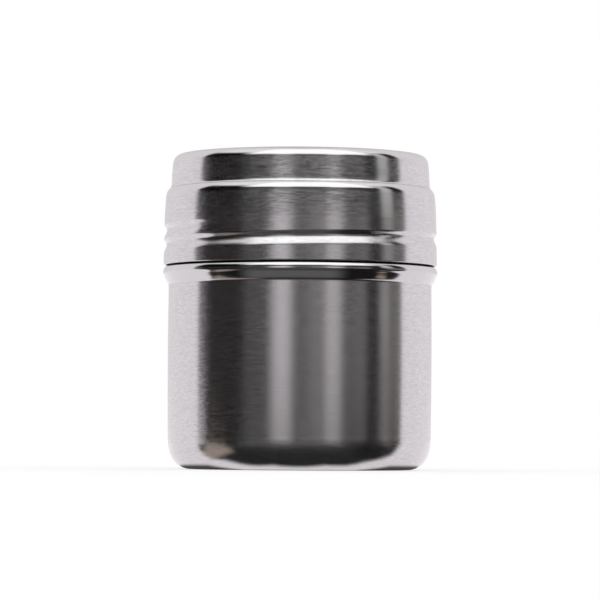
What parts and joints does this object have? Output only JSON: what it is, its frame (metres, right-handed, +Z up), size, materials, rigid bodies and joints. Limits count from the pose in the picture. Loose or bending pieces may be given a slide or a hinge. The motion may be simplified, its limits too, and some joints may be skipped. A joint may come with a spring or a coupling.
{
  "type": "spice shaker",
  "caption": "Brushed steel spice shaker: a drawn cup, a screw-on lid with a rolled thread, and a dial cap that turns to closed, fine or coarse holes.",
  "frame": {"origin": "centre of the base, on the surface that it stands on", "axes": "+Z up along the shaker's axis, -Y towards the front that the picture shows, +X to its right"},
  "size_m": [0.0802, 0.0802, 0.0919],
  "materials": {
    "brushed_shell": "stainless sheet, brushed round the axis",
    "plain_steel": "stainless, tumbled to an even satin",
    "silicone": "food-grade silicone, matt and slightly milky",
    "nylon": "natural nylon"
  },
  "bodies": {
    "cup": {"cup": "brushed_shell"},
    "gasket": {"lid_gasket": "silicone"},
    "lid": {"lid_shell": "brushed_shell", "glide_washer": "nylon", "wave_washer": "plain_steel", "backing_washer": "plain_steel"},
    "dial": {"dial_cap": "brushed_shell", "pivot_rivet": "plain_steel", "stop_stud": "plain_steel"}
  },
  "joints": [
    {"name": "lid_lift", "type": "slide", "parent": "cup", "child": "gasket", "axis": [0, 0, 1], "range_m": [0, 0.0213]},
    {"name": "lid_turn", "type": "hinge", "parent": "gasket", "child": "lid", "pos_m": [0, 0, 0.06], "axis": [0, 0, 1], "range_deg": [0, 1800]},
    {"name": "dial_turn", "type": "hinge", "parent": "lid", "child": "dial", "pos_m": [0, 0, 0.09], "axis": [0, 0, 1], "range_deg": [0, 80]}
  ],
  "couplings": [
    {"joint": "lid_lift", "follows": "lid_turn", "m_per_rad": 0.000678}
  ]
}
